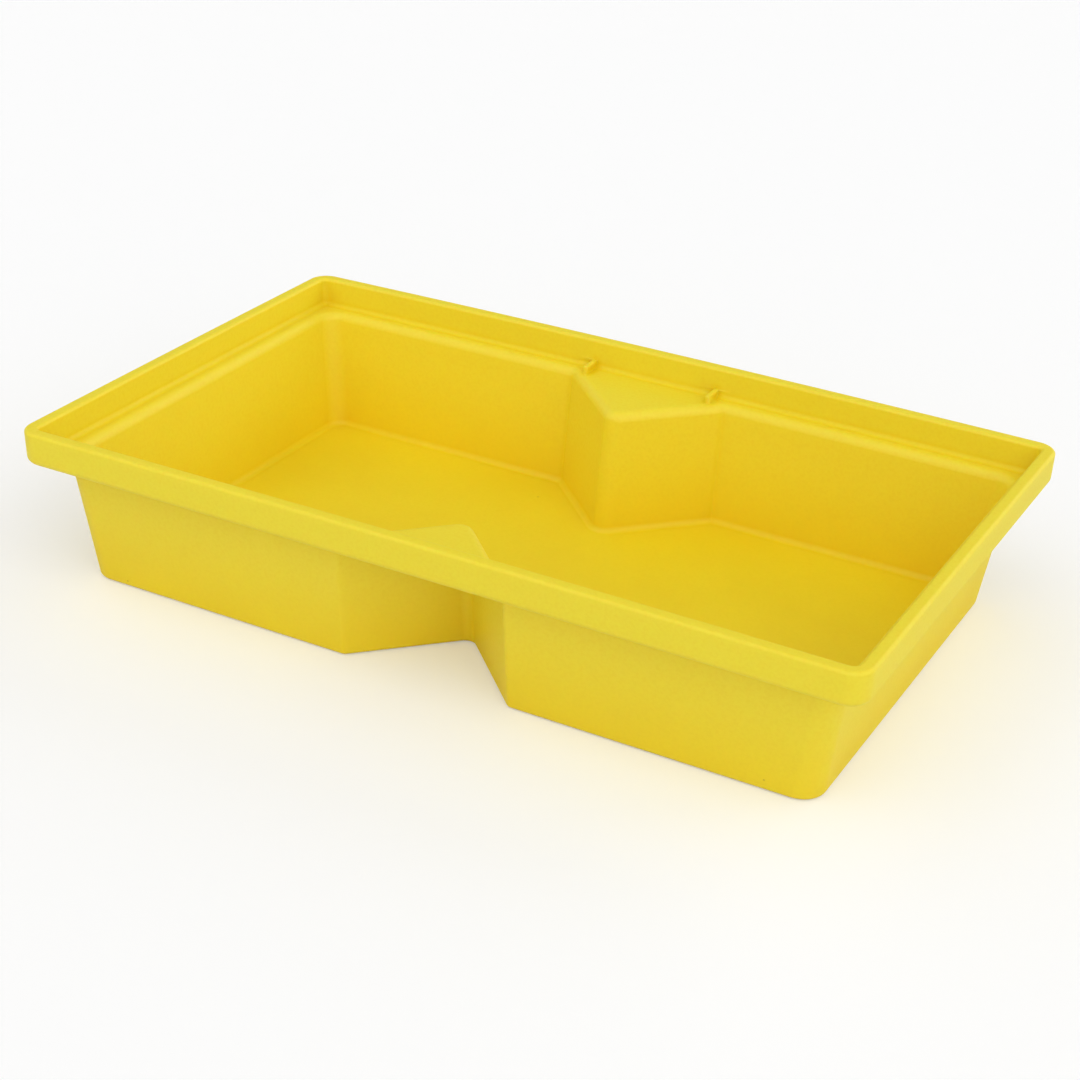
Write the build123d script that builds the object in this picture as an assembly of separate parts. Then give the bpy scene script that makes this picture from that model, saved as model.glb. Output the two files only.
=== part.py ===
from build123d import *
import math
import os

# One-piece moulded polyethylene spill tray, in millimetres with +Z up.
# The origin is the centre of the tray's underside. +X runs along the long side
# and +Y across the tray. The tray is a tub with drafted walls. Near the top the
# walls step outward to a flat ledge, and a rim stands up around the ledge. In
# the middle of each long side the wall folds inward to a V-shaped pier. The
# pier is hollow and open from below, and its top lies flush with the ledge.

# Overall size, over the rim.
LENGTH = 1000.0
WIDTH = 600.0
HEIGHT = 190.0

# Wall of the moulding, and the draft that lets it leave the mould and nest.
WALL = 5.0
END_DRAFT = 7.6
SIDE_DRAFT = 5.8
FLANK_DRAFT = 4.5
RIM_DRAFT = 1.5

# Rim and ledge.
RIM_THICKNESS = 16.0
RIM_DEPTH = 36.0
RIM_CORNER = 24.0
RIM_TOP_EDGE = 4.0
RIM_LOWER_EDGE = 9.0
RIM_FOOT_FILLET = 6.0
LEDGE_EDGE = 12.0
UNDERSIDE_FILLET = 5.0

# Tub below the ledge.
WALL_INSET = 33.2
TUB_CORNER = 27.0
BASE_EDGE = 5.0
FLOOR_FILLET = 8.0

# Piers.
PIER_HALF_WIDTH = 101.5
PIER_ANGLE = 45.0
PIER_MOUTH_EDGE = 8.0
PIER_APEX_EDGE = 12.0

# Locating ribs that reach in from the rim, two over each pier.
RIB_OFFSET = 82.5
RIB_WIDTH = 6.5
RIB_HEIGHT = 10.0
RIB_REACH = 27.0
RIB_EDGE = 2.0

LEDGE_Z = HEIGHT - RIM_DEPTH
UNDERSIDE_Z = LEDGE_Z - WALL
# Half sizes of the tub's outer skin where it meets the ground plane.
BASE_HALF_LENGTH = LENGTH / 2 - WALL_INSET - UNDERSIDE_Z * math.tan(math.radians(END_DRAFT))
BASE_HALF_WIDTH = WIDTH / 2 - WALL_INSET - UNDERSIDE_Z * math.tan(math.radians(SIDE_DRAFT))


def draft_shift(height, degrees):
    """How far a drafted face moves sideways over a height."""
    return height * math.tan(math.radians(degrees))


def tub_outline(z, inward):
    """Plan outline of the tub at a height, moved inward by a wall thickness."""
    end = BASE_HALF_LENGTH + draft_shift(z, END_DRAFT) - inward
    side = BASE_HALF_WIDTH + draft_shift(z, SIDE_DRAFT) - inward
    slope = math.tan(math.radians(PIER_ANGLE))
    # Distance from the tray's middle to where the two flanks of a pier meet.
    apex = BASE_HALF_WIDTH - PIER_HALF_WIDTH * slope
    apex += (draft_shift(z, FLANK_DRAFT) - inward) / math.cos(math.radians(PIER_ANGLE))
    mouth = (side - apex) / slope
    front = [(-mouth, -side), (0, -apex), (mouth, -side)]
    back = [(-x, -y) for x, y in front]
    return [(-end, -side), *front, (end, -side), (end, side), *back, (-end, side)]


def rim_outline(z, inward):
    """Plan outline of the rim at a height, moved inward by its thickness."""
    # The rim is widest where its rounded top edge begins.
    inset = draft_shift(HEIGHT - RIM_TOP_EDGE - z, RIM_DRAFT) + inward
    x = LENGTH / 2 - inset
    y = WIDTH / 2 - inset
    return [(-x, -y), (x, -y), (x, y), (-x, y)]


def drafted(outline, bottom, top, inward):
    """Solid with flat drafted faces between an outline's shapes at two heights."""
    lower = [(x, y, bottom) for x, y in outline(bottom, inward)]
    upper = [(x, y, top) for x, y in outline(top, inward)]
    quads = zip(lower, lower[1:] + lower[:1], upper[1:] + upper[:1], upper)
    polygons = [lower, upper, *quads]
    return Solid(Shell([Face(Wire.make_polygon(corners)) for corners in polygons]))


def upright_edges(solid):
    """Edges that climb from the bottom of a solid to its top."""
    box = solid.bounding_box()
    return ShapeList(
        edge
        for edge in solid.edges()
        if edge.bounding_box().min.Z < box.min.Z + 1 and edge.bounding_box().max.Z > box.max.Z - 1
    )


def level_edges(solid, z):
    """Edges that lie flat at a height."""
    return ShapeList(
        edge
        for edge in solid.edges()
        if abs(edge.bounding_box().min.Z - z) < 0.01 and abs(edge.bounding_box().max.Z - z) < 0.01
    )


def edges_between(edges, near, far):
    """Edges whose middle lies between two distances from the tray's middle, along X."""
    return ShapeList(edge for edge in edges if near <= abs(edge.center().X) < far)


def rim_edges(edges):
    """Edges that follow the rim."""
    reach = WALL_INSET * 3 / 4
    return ShapeList(
        edge
        for edge in edges
        if abs(edge.center().X) > LENGTH / 2 - reach or abs(edge.center().Y) > WIDTH / 2 - reach
    )


def tub_edges(edges):
    """Edges that follow the tub's walls and piers."""
    return ShapeList(edge for edge in edges if edge not in rim_edges(edges))


def tub_solid(bottom, inward, corner, mouth, apex, floor_edge):
    """Tub with rounded corners, rounded pier edges and a rounded floor edge."""
    solid = drafted(tub_outline, bottom, LEDGE_Z, inward)
    solid = fillet(edges_between(upright_edges(solid), LENGTH / 4, LENGTH), corner)
    solid = fillet(edges_between(upright_edges(solid), PIER_HALF_WIDTH / 2, LENGTH / 4), mouth)
    solid = fillet(edges_between(upright_edges(solid), 0, PIER_HALF_WIDTH / 2), apex)
    return fillet(level_edges(solid, bottom), floor_edge)


def rim_solid(bottom, inward, corner):
    """Shallow box with rounded corners, as wide as the rim."""
    solid = drafted(rim_outline, bottom, HEIGHT, inward)
    return fillet(upright_edges(solid), corner)


def outer_solid():
    """Everything inside the tray's outer skin."""
    tub = tub_solid(0, 0, TUB_CORNER, PIER_MOUTH_EDGE, PIER_APEX_EDGE, BASE_EDGE)
    solid = tub + rim_solid(UNDERSIDE_Z, 0, RIM_CORNER)
    solid = fillet(tub_edges(level_edges(solid, UNDERSIDE_Z)), UNDERSIDE_FILLET)
    return fillet(rim_edges(level_edges(solid, UNDERSIDE_Z)), RIM_LOWER_EDGE)


def cavity_solid():
    """Everything above the floor and the ledge, inside the tray's inner skin."""
    mouth = PIER_MOUTH_EDGE - WALL / 2
    tub = tub_solid(WALL, WALL, TUB_CORNER - WALL, mouth, PIER_APEX_EDGE + WALL, FLOOR_FILLET)
    solid = tub + rim_solid(LEDGE_Z, RIM_THICKNESS, RIM_CORNER - RIM_THICKNESS)
    solid = fillet(tub_edges(level_edges(solid, LEDGE_Z)), LEDGE_EDGE)
    return fillet(rim_edges(level_edges(solid, LEDGE_Z)), RIM_FOOT_FILLET)


def rib_solid(x, side):
    """Upright locating rib that crosses the ledge, on the front or back side."""
    root = WALL * 0.8
    # The rib is rooted in the middle of the rim's wall.
    length = RIB_REACH + RIM_THICKNESS / 2
    outer_end = WIDTH / 2 - RIM_THICKNESS / 2
    rib = Box(RIB_WIDTH, length, RIB_HEIGHT + root)
    lowest = rib.edges().group_by(Axis.Z)[0]
    rib = fillet(rib.edges() - lowest, RIB_EDGE)
    return Pos(x, side * (outer_end - length / 2), LEDGE_Z + (RIB_HEIGHT - root) / 2) * rib


def tray_solid():
    """The whole moulding."""
    tray = outer_solid() - cavity_solid()
    tray = fillet(level_edges(tray, HEIGHT), RIM_TOP_EDGE)
    for x in (-RIB_OFFSET, RIB_OFFSET):
        for side in (-1, 1):
            tray += rib_solid(x, side)
    return tray


os.makedirs("parts", exist_ok=True)
export_step(tray_solid(), "parts/tray.step")
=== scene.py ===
import math

import bmesh
import bpy
from mathutils import Matrix, Vector


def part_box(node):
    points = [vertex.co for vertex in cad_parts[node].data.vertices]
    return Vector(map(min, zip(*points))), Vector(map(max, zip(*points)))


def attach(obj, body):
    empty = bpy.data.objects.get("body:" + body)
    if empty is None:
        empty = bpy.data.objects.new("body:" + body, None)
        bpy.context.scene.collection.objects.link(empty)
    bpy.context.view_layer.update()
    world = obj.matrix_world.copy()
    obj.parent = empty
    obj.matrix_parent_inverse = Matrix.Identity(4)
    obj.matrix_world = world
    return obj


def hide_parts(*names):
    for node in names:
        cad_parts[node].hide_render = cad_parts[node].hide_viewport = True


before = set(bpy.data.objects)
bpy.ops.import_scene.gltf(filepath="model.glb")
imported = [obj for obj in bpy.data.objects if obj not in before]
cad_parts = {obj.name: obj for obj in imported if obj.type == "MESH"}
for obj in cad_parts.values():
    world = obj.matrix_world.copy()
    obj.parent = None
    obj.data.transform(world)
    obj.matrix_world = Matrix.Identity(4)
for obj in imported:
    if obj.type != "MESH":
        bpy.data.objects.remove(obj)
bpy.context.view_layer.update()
low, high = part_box("tray")
LENGTH, WIDTH, HEIGHT = high - low
MM = 0.001
WALL = 5 * MM

# The long rims sag from their middles to the corners, as a warm moulding does when it cools.
BACK_SAG = 3.4 * MM
FRONT_SAG = 2.2 * MM
END_SAG = 0.6 * MM
SAG_START = 0.45 * HEIGHT

# The skin is cut often enough to bend. The offset keeps the cuts clear of its own edges.
CUT_SPACING = 25 * MM
CUT_OFFSET = 0.37 * MM
SAME_POINT = 0.001 * MM
ON_PLANE = 0.0001 * MM

# Colours of the plastic, with some that paint light or shade onto it, as linear red, green and blue.
DEEP_YELLOW = (0.870, 0.655, 0.006)
WARM_YELLOW = (0.895, 0.690, 0.008)
# Painted light: a paler tone that makes the upper walls look more brightly lit.
LIT_LEMON = (0.895, 0.755, 0.030)
MOTTLE_YELLOW = (0.83, 0.63, 0.010)
# Rubbed edges: partly real wear, partly a painted highlight on the convex edges.
RUBBED_AND_HIGHLIGHT_YELLOW = (0.90, 0.76, 0.12)
# Painted shade: darkens the wide inner corners.
CREASE_SHADE_YELLOW = (0.81, 0.56, 0.005)
# Painted shade: darkens the tight inner fillets.
FOLD_SHADE_YELLOW = (0.81, 0.58, 0.006)
DUST = (0.55, 0.36, 0.02)
SPECK = (0.30, 0.17, 0.02)

# The lemon tone, painted light, grows from the base, and is full from this height up.
LEMON_FROM = 0.6 * HEIGHT

# Sizes of the plastic's details, in lumps per metre.
CLOUD_SCALE = 7
SPECK_SCALE = 28
PATCH_SCALE = 45
PEEL_SCALE = 160
MOTTLE_SCALE = 260
GRAIN_SCALE = 900

# Scratches are noise that is drawn out along the tray and turned a little.
SCRATCH_SCALE = 4
SCRATCH_STRETCH = (9, 150, 150)
SCRATCH_TURN = (0, 0, 0.35)

# How far the shading looks for rubbed edges with their painted highlight, and for the wide inner corners
# and tight inner fillets that get painted shade.
EDGE_REACH = 0.9 * WALL
CREASE_REACH = 30 * MM
FOLD_REACH = 9 * MM
REACH_SAMPLES = 4

# How open the surface is where each of those begins, and where it is at its strongest.
EDGE_OPENNESS = (0.97, 0.65)
CREASE_OPENNESS = (0.85, 0.40)
FOLD_OPENNESS = (0.96, 0.84)

# Noise values where each detail begins, and where it is at its strongest.
CLOUD_LEVELS = (0.35, 0.65)
PATCH_LEVELS = (0.3, 0.6)
MOTTLE_LEVELS = (0.35, 0.75)
SCRATCH_LEVELS = (0.66, 0.74)

# Each cell may hold a speck at its centre. The chance is the random red of the cell.
SPECK_RADIUS = (0.045, 0.02)
SPECK_CHANCE = (0.90, 0.93)

# Relief: heights of the orange peel and the scratches against the grain's, and the depth of it all.
PEEL_HEIGHT = 1.6
SCRATCH_HEIGHT = 0.5
RELIEF_STRENGTH = 0.25
RELIEF_DEPTH = 0.12 * MM

# Roughness of the plain plastic, and what each detail adds to it.
ROUGHNESS = 0.47
MOTTLE_ROUGHNESS = 0.12
WEAR_ROUGHNESS = 0.10
SCRATCH_ROUGHNESS = 0.08

# Shine of the plain plastic, and what it loses in the tight inner fillets.
SHINE = 0.5
FOLD_DULLNESS = 0.45

# Camera: angles in degrees, distances in metres and lens in millimetres.
AZIMUTH = 27.88
ELEVATION = 27.29
ROLL = 2.12
DISTANCE = 2.383
LENS = 72.3
AIM = Vector((0.0368, -0.0702, 0.100))

# Studio. The floor's own glow is seen only by the camera.
FLOOR_SIZE = 40
FLOOR_GAP = 0.5 * MM
FLOOR_GREY = 0.80
FLOOR_GLOW = 0.23
SKY_STRENGTH = 0.46


# --- shape ---------------------------------------------------------------------------

def smooth_step(t):
    """0 below 0, 1 above 1, and a smooth rise between them."""
    t = min(max(t, 0.0), 1.0)
    return t * t * (3 - 2 * t)


def sag(point):
    """How far a point of the tray drops, most at the corners of the rim."""
    along = (2 * point.x / LENGTH) ** 2
    across = (2 * point.y / WIDTH) ** 2
    back_share = 0.5 + point.y / WIDTH
    long_side = FRONT_SAG + (BACK_SAG - FRONT_SAG) * back_share
    drop = long_side * along + END_SAG * across
    return drop * smooth_step((point.z - SAG_START) / (HEIGHT - SAG_START))


def cut_evenly(mesh, axis, half):
    """Cuts the mesh by evenly spaced planes, so that its long flat faces can bend."""
    count = int(half / CUT_SPACING)
    for i in range(-count, count + 1):
        point = Vector((0, 0, 0))
        point[axis] = i * half / count + CUT_OFFSET
        normal = Vector((0, 0, 0))
        normal[axis] = 1
        parts = mesh.verts[:] + mesh.edges[:] + mesh.faces[:]
        bmesh.ops.bisect_plane(mesh, geom=parts, dist=ON_PLANE, plane_co=point, plane_no=normal)


def tray_moulding():
    """The tray's skin, with the gentle bow of its rims."""
    mesh = bmesh.new()
    mesh.from_mesh(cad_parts["tray"].data)
    bmesh.ops.remove_doubles(mesh, verts=mesh.verts, dist=SAME_POINT)
    cut_evenly(mesh, 0, LENGTH / 2)
    cut_evenly(mesh, 1, WIDTH / 2)
    bmesh.ops.dissolve_degenerate(mesh, edges=mesh.edges[:], dist=SAME_POINT)
    for vert in mesh.verts:
        vert.co.z -= sag(vert.co)
    for face in mesh.faces:
        face.smooth = True
    data = bpy.data.meshes.new("tray_moulding")
    mesh.to_mesh(data)
    mesh.free()
    tray = bpy.data.objects.new("tray_moulding", data)
    bpy.context.scene.collection.objects.link(tray)
    shading = tray.modifiers.new("flat_faces_stay_flat", "WEIGHTED_NORMAL")
    shading.weight = 100
    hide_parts("tray")
    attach(tray, "root")
    return tray


# --- materials -----------------------------------------------------------------------

class Nodes:
    """Short way to add shader nodes to a material or to the world."""

    def __init__(self, tree):
        self.tree = tree
        self.tree.nodes.clear()

    def add(self, kind, inputs=None, **settings):
        """Adds a node. An input is a value, or the output of another node."""
        node = self.tree.nodes.new(kind)
        for name, value in settings.items():
            setattr(node, name, value)
        for name, value in (inputs or {}).items():
            if isinstance(value, bpy.types.NodeSocket):
                self.tree.links.new(value, node.inputs[name])
            else:
                node.inputs[name].default_value = value
        return node

    def noise(self, place, scale, detail):
        """Soft noise with a number of lumps per metre."""
        settings = {"Vector": place, "Scale": scale, "Detail": detail}
        return self.add("ShaderNodeTexNoise", settings).outputs["Fac"]

    def band(self, value, start, end):
        """0 where value is at start, 1 where it is at end, and a smooth change between them."""
        settings = {"Value": value, "From Min": start, "From Max": end}
        node = self.add("ShaderNodeMapRange", settings, interpolation_type="SMOOTHSTEP")
        return node.outputs["Result"]

    def calculate(self, operation, first, second):
        """Result of one operation on two values."""
        return self.add("ShaderNodeMath", {0: first, 1: second}, operation=operation).outputs[0]

    def multiply(self, first, second):
        """Product of two values."""
        return self.calculate("MULTIPLY", first, second)

    def sum(self, first, second):
        """Sum of two values."""
        return self.calculate("ADD", first, second)

    def openness(self, reach, inside):
        """How open the surface is around a point. Inside looks into the plastic instead of out of it."""
        settings = {"inside": inside, "only_local": True, "samples": REACH_SAMPLES}
        return self.add("ShaderNodeAmbientOcclusion", {"Distance": reach}, **settings).outputs["AO"]

    def ramp(self, value, levels, colours):
        """Colour that runs from one colour to another between two levels of a value."""
        node = self.add("ShaderNodeValToRGB", {"Fac": value})
        for element, level, colour in zip(node.color_ramp.elements, levels, colours):
            element.position = level
            element.color = (*colour, 1)
        return node.outputs["Color"]

    def tint(self, colour, tone, amount, share):
        """A colour with a tone laid over it. Where the amount is 1, that share of the tone shows."""
        node = self.add("ShaderNodeMix", data_type="RGBA")
        settings = {"Factor": self.multiply(amount, share), "A": colour, "B": (*tone, 1)}
        for name, value in settings.items():
            # The node has sockets of one name for several kinds of value, and only one is in use.
            socket = next(s for s in node.inputs if s.name == name and s.enabled)
            if isinstance(value, bpy.types.NodeSocket):
                self.tree.links.new(value, socket)
            else:
                socket.default_value = value
        return next(s for s in node.outputs if s.enabled)


def new_material(name):
    """Empty material, and the helper that adds its nodes."""
    material = bpy.data.materials.new(name)
    material.use_nodes = True
    return material, Nodes(material.node_tree)


def specks(n, place):
    """1 on a few small specks, and 0 elsewhere."""
    settings = {"Vector": place, "Scale": SPECK_SCALE, "Randomness": 1.0}
    cells = n.add("ShaderNodeTexVoronoi", settings)
    near_centre = n.band(cells.outputs["Distance"], *SPECK_RADIUS)
    red = n.add("ShaderNodeSeparateColor", {"Color": cells.outputs["Color"]}).outputs["Red"]
    return n.multiply(near_centre, n.band(red, *SPECK_CHANCE))


def scratches(n, place):
    """1 on fine scratches that run mostly along the tray, and 0 elsewhere."""
    settings = {"Vector": place, "Scale": SCRATCH_STRETCH, "Rotation": SCRATCH_TURN}
    stretched = n.add("ShaderNodeMapping", settings).outputs["Vector"]
    return n.band(n.noise(stretched, SCRATCH_SCALE, detail=5), *SCRATCH_LEVELS)


def plastic_colour(n, place, mottle, patchy, wear_and_highlight, crease_shade, fold_shade):
    """Yellow with broad clouds, fine mottling, a lemon tone painted lighter towards the top, rubbed
    edges with a painted highlight, painted shade and dust in deep corners, painted shade in tight
    fillets, and a few specks.
    """
    height = n.add("ShaderNodeSeparateXYZ", {"Vector": place}).outputs["Z"]
    clouds = n.noise(place, CLOUD_SCALE, detail=3)
    colour = n.ramp(clouds, CLOUD_LEVELS, (DEEP_YELLOW, WARM_YELLOW))
    # Painted light: the upper walls are lightened to a paler lemon.
    colour = n.tint(colour, LIT_LEMON, n.band(height, 0.0, LEMON_FROM), share=0.75)
    colour = n.tint(colour, MOTTLE_YELLOW, n.band(mottle, *MOTTLE_LEVELS), share=0.30)
    # Rubbed edges: partly real wear, partly a painted highlight.
    colour = n.tint(colour, RUBBED_AND_HIGHLIGHT_YELLOW, wear_and_highlight, share=0.20)
    # Painted shade in the wide inner corners.
    colour = n.tint(colour, CREASE_SHADE_YELLOW, crease_shade, share=0.50)
    # Real dust, in patches, in the same deep corners.
    colour = n.tint(colour, DUST, n.multiply(crease_shade, patchy), share=0.10)
    # Painted shade in the tight inner fillets.
    colour = n.tint(colour, FOLD_SHADE_YELLOW, fold_shade, share=0.45)
    return n.tint(colour, SPECK, specks(n, place), share=0.45)


def plastic_relief(n, place, scratch):
    """Fine grain over a soft orange peel, with the scratches cut into it."""
    grain = n.noise(place, GRAIN_SCALE, detail=2)
    peel = n.noise(place, PEEL_SCALE, detail=1)
    relief = n.sum(grain, n.multiply(peel, PEEL_HEIGHT))
    relief = n.calculate("SUBTRACT", relief, n.multiply(scratch, SCRATCH_HEIGHT))
    settings = {"Height": relief, "Strength": RELIEF_STRENGTH, "Distance": RELIEF_DEPTH}
    return n.add("ShaderNodeBump", settings).outputs["Normal"]


def plastic_roughness(n, mottle, wear_and_highlight, scratch):
    """Satin, and drier where the plastic is rubbed or scratched."""
    rough = n.sum(n.multiply(mottle, MOTTLE_ROUGHNESS), ROUGHNESS)
    rough = n.sum(rough, n.multiply(wear_and_highlight, WEAR_ROUGHNESS))
    return n.sum(rough, n.multiply(scratch, SCRATCH_ROUGHNESS))


def polyethylene():
    """Yellow moulded polyethylene: satin, slightly milky, finely grained and lightly used, with painted
    light on its upper walls and edges and painted shade in its corners and fillets.
    """
    material, n = new_material("yellow_polyethylene")
    place = n.add("ShaderNodeTexCoord").outputs["Object"]
    mottle = n.noise(place, MOTTLE_SCALE, detail=2)
    patchy = n.band(n.noise(place, PATCH_SCALE, detail=4), *PATCH_LEVELS)
    # The rubbed-edge mask also carries a painted highlight.
    edge = n.band(n.openness(EDGE_REACH, inside=True), *EDGE_OPENNESS)
    wear_and_highlight = n.multiply(edge, patchy)
    # Masks for painted shade in wide inner corners and tight inner fillets.
    crease_shade = n.band(n.openness(CREASE_REACH, inside=False), *CREASE_OPENNESS)
    fold_shade = n.band(n.openness(FOLD_REACH, inside=False), *FOLD_OPENNESS)
    scratch = scratches(n, place)
    plastic = n.add("ShaderNodeBsdfPrincipled", {
        "Base Color": plastic_colour(n, place, mottle, patchy, wear_and_highlight, crease_shade, fold_shade),
        "Roughness": plastic_roughness(n, mottle, wear_and_highlight, scratch),
        "IOR": 1.5,
        "Specular IOR Level": n.calculate("SUBTRACT", SHINE, n.multiply(fold_shade, FOLD_DULLNESS)),
        "Normal": plastic_relief(n, place, scratch),
        "Subsurface Weight": 0.35,
        "Subsurface Radius": (1.0, 0.55, 0.08),
        "Subsurface Scale": 4 * MM,
    })
    n.add("ShaderNodeOutputMaterial", {"Surface": plastic.outputs["BSDF"]})
    return material


def studio_paper():
    """Pale matte floor. It looks close to white, but throws only part of that light on the tray."""
    material, n = new_material("studio_paper")
    seen_directly = n.add("ShaderNodeLightPath").outputs["Is Camera Ray"]
    matte = n.add("ShaderNodeBsdfPrincipled", {
        "Base Color": (FLOOR_GREY, FLOOR_GREY, FLOOR_GREY, 1),
        "Roughness": 0.9,
        "Specular IOR Level": 0.1,
        "Emission Color": (1, 1, 1, 1),
        "Emission Strength": n.multiply(seen_directly, FLOOR_GLOW),
    })
    n.add("ShaderNodeOutputMaterial", {"Surface": matte.outputs["BSDF"]})
    return material


# --- studio --------------------------------------------------------------------------

def studio_floor():
    """Wide plain floor under the tray."""
    bpy.ops.mesh.primitive_plane_add(size=FLOOR_SIZE, location=(0, 0, low.z - FLOOR_GAP))
    floor = bpy.context.object
    floor.name = "studio_floor"
    floor.data.materials.append(studio_paper())


def direction(azimuth, elevation):
    """Unit vector from the tray towards a place around it. Azimuth 0 is in front, 90 at the right."""
    a, e = math.radians(azimuth), math.radians(elevation)
    return Vector((math.sin(a) * math.cos(e), -math.cos(a) * math.cos(e), math.sin(e)))


def soft_light(name, azimuth, elevation, width, strength):
    """Even light from one side. Its width is the angle that it fills, in degrees."""
    data = bpy.data.lights.new(name, "SUN")
    data.energy = strength
    data.angle = math.radians(width)
    light = bpy.data.objects.new(name, data)
    bpy.context.scene.collection.objects.link(light)
    light.rotation_euler = direction(azimuth, elevation).to_track_quat("Z", "Y").to_euler()


def studio_sky():
    """Soft surroundings, brightest overhead. Seen directly, they are as pale as the floor."""
    world = bpy.data.worlds.new("studio")
    world.use_nodes = True
    bpy.context.scene.world = world
    n = Nodes(world.node_tree)
    place = n.add("ShaderNodeTexCoord").outputs["Generated"]
    height = n.add("ShaderNodeSeparateXYZ", {"Vector": place}).outputs["Z"]
    seen_directly = n.add("ShaderNodeLightPath").outputs["Is Camera Ray"]
    glow = n.calculate("MAXIMUM", n.multiply(height, SKY_STRENGTH), seen_directly)
    backdrop = n.add("ShaderNodeBackground", {"Color": glow})
    n.add("ShaderNodeOutputWorld", {"Surface": backdrop.outputs["Background"]})


def studio_lights():
    """Large soft lights round the tray, strongest in front."""
    studio_sky()
    soft_light("front_light", azimuth=16, elevation=30, width=110, strength=1.86)
    soft_light("right_light", azimuth=90, elevation=20, width=80, strength=0.88)
    soft_light("left_light", azimuth=270, elevation=30, width=80, strength=0.68)
    soft_light("back_light", azimuth=155, elevation=14, width=60, strength=1.08)


def camera():
    """Camera in front of the tray, to its right and above it."""
    data = bpy.data.cameras.new("camera")
    data.lens = LENS
    cam = bpy.data.objects.new("camera", data)
    bpy.context.scene.collection.objects.link(cam)
    back = direction(AZIMUTH, ELEVATION)
    cam.location = AIM + back * DISTANCE
    turn = back.to_track_quat("Z", "Y").to_matrix().to_4x4()
    roll = Matrix.Rotation(math.radians(ROLL), 4, "Z")
    cam.rotation_euler = (turn @ roll).to_euler()
    bpy.context.scene.camera = cam


tray = tray_moulding()
tray.data.materials.append(polyethylene())
studio_floor()
studio_lights()
camera()
bpy.context.scene.view_settings.view_transform = "Standard"
